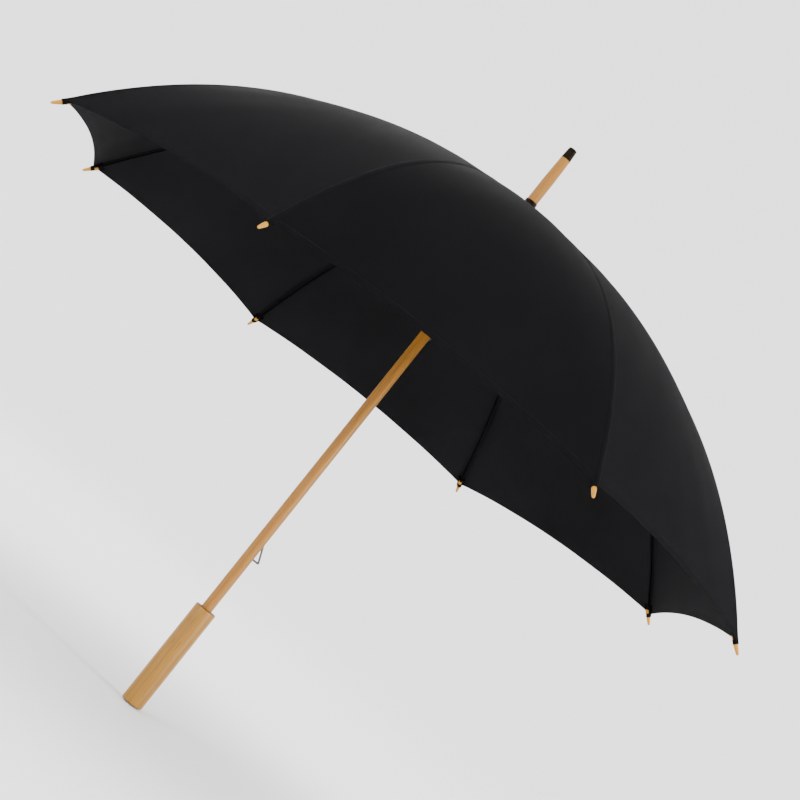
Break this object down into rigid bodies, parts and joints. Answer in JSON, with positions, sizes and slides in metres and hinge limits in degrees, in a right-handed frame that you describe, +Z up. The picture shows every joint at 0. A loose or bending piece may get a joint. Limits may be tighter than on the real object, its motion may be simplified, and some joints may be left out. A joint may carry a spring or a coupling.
{
  "type": "golf umbrella",
  "caption": "Open golf umbrella: straight wooden shaft and handle, panelled black canopy on a folding rib and stretcher frame with a sliding runner.",
  "frame": {"origin": "centre of the handle's flat end", "axes": "+Z up the shaft towards the ferrule, +X the way the two spring catches face"},
  "size_m": [1.1108, 1.1108, 0.9858],
  "materials": {
    "handle_bamboo": "satin varnish over laminated bamboo",
    "shaft_wood": "satin varnish",
    "tip_wood": "satin varnish",
    "canopy_cloth": "matt woven, water repellent",
    "black_steel": "semi gloss black",
    "spring_steel": "bright drawn wire",
    "dark_cap": "dark brown, low gloss",
    "black_nylon": "moulded"
  },
  "bodies": {
    "frame": {"shaft": "shaft_wood", "handle": "handle_bamboo", "ferrule_cap": "dark_cap", "crown_collar": "dark_cap", "notch": "black_nylon", "notch_wire": "spring_steel", "stop_pin": "spring_steel"},
    "runner": {"runner": "black_nylon", "runner_wire": "spring_steel"},
    "bottom_catch": {"bottom_catch": "spring_steel"},
    "top_catch": {"top_catch": "spring_steel"},
    "rib_1": {"rib_1": "black_steel", "rib_rivet_1": "spring_steel", "rib_tip_1": "tip_wood"},
    "stretcher_1": {"stretcher_1": "black_steel"},
    "panel_1_left_cloth": {"panel_1_left": "canopy_cloth"},
    "panel_8_right_cloth": {"panel_8_right": "canopy_cloth"},
    "rib_2": {"rib_2": "black_steel", "rib_rivet_2": "spring_steel", "rib_tip_2": "tip_wood"},
    "stretcher_2": {"stretcher_2": "black_steel"},
    "panel_2_left_cloth": {"panel_2_left": "canopy_cloth", "tie_strap": "canopy_cloth"},
    "panel_1_right_cloth": {"panel_1_right": "canopy_cloth"},
    "rib_3": {"rib_3": "black_steel", "rib_rivet_3": "spring_steel", "rib_tip_3": "tip_wood"},
    "stretcher_3": {"stretcher_3": "black_steel"},
    "panel_3_left_cloth": {"panel_3_left": "canopy_cloth"},
    "panel_2_right_cloth": {"panel_2_right": "canopy_cloth"},
    "rib_4": {"rib_4": "black_steel", "rib_rivet_4": "spring_steel", "rib_tip_4": "tip_wood"},
    "stretcher_4": {"stretcher_4": "black_steel"},
    "panel_4_left_cloth": {"panel_4_left": "canopy_cloth"},
    "panel_3_right_cloth": {"panel_3_right": "canopy_cloth"},
    "rib_5": {"rib_5": "black_steel", "rib_rivet_5": "spring_steel", "rib_tip_5": "tip_wood"},
    "stretcher_5": {"stretcher_5": "black_steel"},
    "panel_5_left_cloth": {"panel_5_left": "canopy_cloth"},
    "panel_4_right_cloth": {"panel_4_right": "canopy_cloth"},
    "rib_6": {"rib_6": "black_steel", "rib_rivet_6": "spring_steel", "rib_tip_6": "tip_wood"},
    "stretcher_6": {"stretcher_6": "black_steel"},
    "panel_6_left_cloth": {"panel_6_left": "canopy_cloth"},
    "panel_5_right_cloth": {"panel_5_right": "canopy_cloth"},
    "rib_7": {"rib_7": "black_steel", "rib_rivet_7": "spring_steel", "rib_tip_7": "tip_wood"},
    "stretcher_7": {"stretcher_7": "black_steel"},
    "panel_7_left_cloth": {"panel_7_left": "canopy_cloth"},
    "panel_6_right_cloth": {"panel_6_right": "canopy_cloth"},
    "rib_8": {"rib_8": "black_steel", "rib_rivet_8": "spring_steel", "rib_tip_8": "tip_wood"},
    "stretcher_8": {"stretcher_8": "black_steel"},
    "panel_8_left_cloth": {"panel_8_left": "canopy_cloth"},
    "panel_7_right_cloth": {"panel_7_right": "canopy_cloth"}
  },
  "joints": [
    {"name": "canopy_fold", "type": "hinge", "parent": "frame", "child": "rib_1", "pos_m": [0.01109, 0.00459, 0.8665], "axis": [-0.3827, 0.9239, 0], "range_deg": [0, 61], "deforming": ["panel_1_left", "panel_1_right", "panel_2_left", "panel_2_right", "panel_3_left", "panel_3_right", "panel_4_left", "panel_4_right", "panel_5_left", "panel_5_right", "panel_6_left", "panel_6_right", "panel_7_left", "panel_7_right", "panel_8_left", "panel_8_right", "tie_strap", "top_catch", "bottom_catch"]},
    {"name": "stretcher_1_hinge", "type": "hinge", "parent": "rib_1", "child": "stretcher_1", "pos_m": [0.27143, 0.11243, 0.798], "axis": [-0.3827, 0.9239, 0], "range_deg": [-122, 0]},
    {"name": "panel_1_left_crease", "type": "hinge", "parent": "rib_1", "child": "panel_1_left_cloth", "pos_m": [0.02607, -0.01567, 0.87009], "axis": [-0.4647, -0.7754, -0.4277], "range_deg": [0, 23.1]},
    {"name": "panel_8_right_crease", "type": "hinge", "parent": "rib_1", "child": "panel_8_right_cloth", "pos_m": [0.00735, 0.02951, 0.87009], "axis": [0.8768, -0.2197, 0.4277], "range_deg": [0, 23.1]},
    {"name": "rib_2_hinge", "type": "hinge", "parent": "frame", "child": "rib_2", "pos_m": [0.00459, 0.01109, 0.8665], "axis": [-0.9239, 0.3827, 0], "range_deg": [0, 61]},
    {"name": "stretcher_2_hinge", "type": "hinge", "parent": "rib_2", "child": "stretcher_2", "pos_m": [0.11243, 0.27143, 0.798], "axis": [-0.9239, 0.3827, 0], "range_deg": [-122, 0]},
    {"name": "panel_2_left_crease", "type": "hinge", "parent": "rib_2", "child": "panel_2_left_cloth", "pos_m": [0.02951, 0.00735, 0.87009], "axis": [0.2197, -0.8768, -0.4277], "range_deg": [0, 23.1]},
    {"name": "panel_1_right_crease", "type": "hinge", "parent": "rib_2", "child": "panel_1_right_cloth", "pos_m": [-0.01567, 0.02607, 0.87009], "axis": [0.7754, 0.4647, 0.4277], "range_deg": [0, 23.1]},
    {"name": "rib_3_hinge", "type": "hinge", "parent": "frame", "child": "rib_3", "pos_m": [-0.00459, 0.01109, 0.8665], "axis": [-0.9239, -0.3827, 0], "range_deg": [0, 61]},
    {"name": "stretcher_3_hinge", "type": "hinge", "parent": "rib_3", "child": "stretcher_3", "pos_m": [-0.11243, 0.27143, 0.798], "axis": [-0.9239, -0.3827, 0], "range_deg": [-122, 0]},
    {"name": "panel_3_left_crease", "type": "hinge", "parent": "rib_3", "child": "panel_3_left_cloth", "pos_m": [0.01567, 0.02607, 0.87009], "axis": [0.7754, -0.4647, -0.4277], "range_deg": [0, 23.1]},
    {"name": "panel_2_right_crease", "type": "hinge", "parent": "rib_3", "child": "panel_2_right_cloth", "pos_m": [-0.02951, 0.00735, 0.87009], "axis": [0.2197, 0.8768, 0.4277], "range_deg": [0, 23.1]},
    {"name": "rib_4_hinge", "type": "hinge", "parent": "frame", "child": "rib_4", "pos_m": [-0.01109, 0.00459, 0.8665], "axis": [-0.3827, -0.9239, 0], "range_deg": [0, 61]},
    {"name": "stretcher_4_hinge", "type": "hinge", "parent": "rib_4", "child": "stretcher_4", "pos_m": [-0.27143, 0.11243, 0.798], "axis": [-0.3827, -0.9239, 0], "range_deg": [-122, 0]},
    {"name": "panel_4_left_crease", "type": "hinge", "parent": "rib_4", "child": "panel_4_left_cloth", "pos_m": [-0.00735, 0.02951, 0.87009], "axis": [0.8768, 0.2197, -0.4277], "range_deg": [0, 23.1]},
    {"name": "panel_3_right_crease", "type": "hinge", "parent": "rib_4", "child": "panel_3_right_cloth", "pos_m": [-0.02607, -0.01567, 0.87009], "axis": [-0.4647, 0.7754, 0.4277], "range_deg": [0, 23.1]},
    {"name": "rib_5_hinge", "type": "hinge", "parent": "frame", "child": "rib_5", "pos_m": [-0.01109, -0.00459, 0.8665], "axis": [0.3827, -0.9239, 0], "range_deg": [0, 61]},
    {"name": "stretcher_5_hinge", "type": "hinge", "parent": "rib_5", "child": "stretcher_5", "pos_m": [-0.27143, -0.11243, 0.798], "axis": [0.3827, -0.9239, 0], "range_deg": [-122, 0]},
    {"name": "panel_5_left_crease", "type": "hinge", "parent": "rib_5", "child": "panel_5_left_cloth", "pos_m": [-0.02607, 0.01567, 0.87009], "axis": [0.4647, 0.7754, -0.4277], "range_deg": [0, 23.1]},
    {"name": "panel_4_right_crease", "type": "hinge", "parent": "rib_5", "child": "panel_4_right_cloth", "pos_m": [-0.00735, -0.02951, 0.87009], "axis": [-0.8768, 0.2197, 0.4277], "range_deg": [0, 23.1]},
    {"name": "rib_6_hinge", "type": "hinge", "parent": "frame", "child": "rib_6", "pos_m": [-0.00459, -0.01109, 0.8665], "axis": [0.9239, -0.3827, 0], "range_deg": [0, 61]},
    {"name": "stretcher_6_hinge", "type": "hinge", "parent": "rib_6", "child": "stretcher_6", "pos_m": [-0.11243, -0.27143, 0.798], "axis": [0.9239, -0.3827, 0], "range_deg": [-122, 0]},
    {"name": "panel_6_left_crease", "type": "hinge", "parent": "rib_6", "child": "panel_6_left_cloth", "pos_m": [-0.02951, -0.00735, 0.87009], "axis": [-0.2197, 0.8768, -0.4277], "range_deg": [0, 23.1]},
    {"name": "panel_5_right_crease", "type": "hinge", "parent": "rib_6", "child": "panel_5_right_cloth", "pos_m": [0.01567, -0.02607, 0.87009], "axis": [-0.7754, -0.4647, 0.4277], "range_deg": [0, 23.1]},
    {"name": "rib_7_hinge", "type": "hinge", "parent": "frame", "child": "rib_7", "pos_m": [0.00459, -0.01109, 0.8665], "axis": [0.9239, 0.3827, 0], "range_deg": [0, 61]},
    {"name": "stretcher_7_hinge", "type": "hinge", "parent": "rib_7", "child": "stretcher_7", "pos_m": [0.11243, -0.27143, 0.798], "axis": [0.9239, 0.3827, 0], "range_deg": [-122, 0]},
    {"name": "panel_7_left_crease", "type": "hinge", "parent": "rib_7", "child": "panel_7_left_cloth", "pos_m": [-0.01567, -0.02607, 0.87009], "axis": [-0.7754, 0.4647, -0.4277], "range_deg": [0, 23.1]},
    {"name": "panel_6_right_crease", "type": "hinge", "parent": "rib_7", "child": "panel_6_right_cloth", "pos_m": [0.02951, -0.00735, 0.87009], "axis": [-0.2197, -0.8768, 0.4277], "range_deg": [0, 23.1]},
    {"name": "rib_8_hinge", "type": "hinge", "parent": "frame", "child": "rib_8", "pos_m": [0.01109, -0.00459, 0.8665], "axis": [0.3827, 0.9239, 0], "range_deg": [0, 61]},
    {"name": "stretcher_8_hinge", "type": "hinge", "parent": "rib_8", "child": "stretcher_8", "pos_m": [0.27143, -0.11243, 0.798], "axis": [0.3827, 0.9239, 0], "range_deg": [-122, 0]},
    {"name": "panel_8_left_crease", "type": "hinge", "parent": "rib_8", "child": "panel_8_left_cloth", "pos_m": [0.00735, -0.02951, 0.87009], "axis": [-0.8768, -0.2197, -0.4277], "range_deg": [0, 23.1]},
    {"name": "panel_7_right_crease", "type": "hinge", "parent": "rib_8", "child": "panel_7_right_cloth", "pos_m": [0.02607, 0.01567, 0.87009], "axis": [0.4647, -0.7754, 0.4277], "range_deg": [0, 23.1]},
    {"name": "runner_hinge", "type": "hinge", "parent": "stretcher_1", "child": "runner", "pos_m": [0.01109, 0.00459, 0.7295], "axis": [-0.3827, 0.9239, 0], "range_deg": [0, 61]},
    {"name": "bottom_catch_press", "type": "hinge", "parent": "frame", "child": "bottom_catch", "pos_m": [0.0024, 0, 0.292], "axis": [0, 1, 0], "range_deg": [0, 15], "stiffness_Nm_per_rad": 0.3},
    {"name": "top_catch_press", "type": "hinge", "parent": "frame", "child": "top_catch", "pos_m": [0.0024, 0, 0.6339], "axis": [0, -1, 0], "range_deg": [0, 15], "stiffness_Nm_per_rad": 0.3}
  ],
  "couplings": [
    {"joint": "stretcher_1_hinge", "follows": "canopy_fold", "ratio": -2},
    {"joint": "panel_1_left_crease", "follows": "canopy_fold", "ratio": 0.37652},
    {"joint": "panel_8_right_crease", "follows": "canopy_fold", "ratio": 0.37652},
    {"joint": "rib_2_hinge", "follows": "canopy_fold", "ratio": 1},
    {"joint": "stretcher_2_hinge", "follows": "canopy_fold", "ratio": -2},
    {"joint": "panel_2_left_crease", "follows": "canopy_fold", "ratio": 0.37652},
    {"joint": "panel_1_right_crease", "follows": "canopy_fold", "ratio": 0.37652},
    {"joint": "rib_3_hinge", "follows": "canopy_fold", "ratio": 1},
    {"joint": "stretcher_3_hinge", "follows": "canopy_fold", "ratio": -2},
    {"joint": "panel_3_left_crease", "follows": "canopy_fold", "ratio": 0.37652},
    {"joint": "panel_2_right_crease", "follows": "canopy_fold", "ratio": 0.37652},
    {"joint": "rib_4_hinge", "follows": "canopy_fold", "ratio": 1},
    {"joint": "stretcher_4_hinge", "follows": "canopy_fold", "ratio": -2},
    {"joint": "panel_4_left_crease", "follows": "canopy_fold", "ratio": 0.37652},
    {"joint": "panel_3_right_crease", "follows": "canopy_fold", "ratio": 0.37652},
    {"joint": "rib_5_hinge", "follows": "canopy_fold", "ratio": 1},
    {"joint": "stretcher_5_hinge", "follows": "canopy_fold", "ratio": -2},
    {"joint": "panel_5_left_crease", "follows": "canopy_fold", "ratio": 0.37652},
    {"joint": "panel_4_right_crease", "follows": "canopy_fold", "ratio": 0.37652},
    {"joint": "rib_6_hinge", "follows": "canopy_fold", "ratio": 1},
    {"joint": "stretcher_6_hinge", "follows": "canopy_fold", "ratio": -2},
    {"joint": "panel_6_left_crease", "follows": "canopy_fold", "ratio": 0.37652},
    {"joint": "panel_5_right_crease", "follows": "canopy_fold", "ratio": 0.37652},
    {"joint": "rib_7_hinge", "follows": "canopy_fold", "ratio": 1},
    {"joint": "stretcher_7_hinge", "follows": "canopy_fold", "ratio": -2},
    {"joint": "panel_7_left_crease", "follows": "canopy_fold", "ratio": 0.37652},
    {"joint": "panel_6_right_crease", "follows": "canopy_fold", "ratio": 0.37652},
    {"joint": "rib_8_hinge", "follows": "canopy_fold", "ratio": 1},
    {"joint": "stretcher_8_hinge", "follows": "canopy_fold", "ratio": -2},
    {"joint": "panel_8_left_crease", "follows": "canopy_fold", "ratio": 0.37652},
    {"joint": "panel_7_right_crease", "follows": "canopy_fold", "ratio": 0.37652},
    {"joint": "runner_hinge", "follows": "canopy_fold", "ratio": 1}
  ]
}
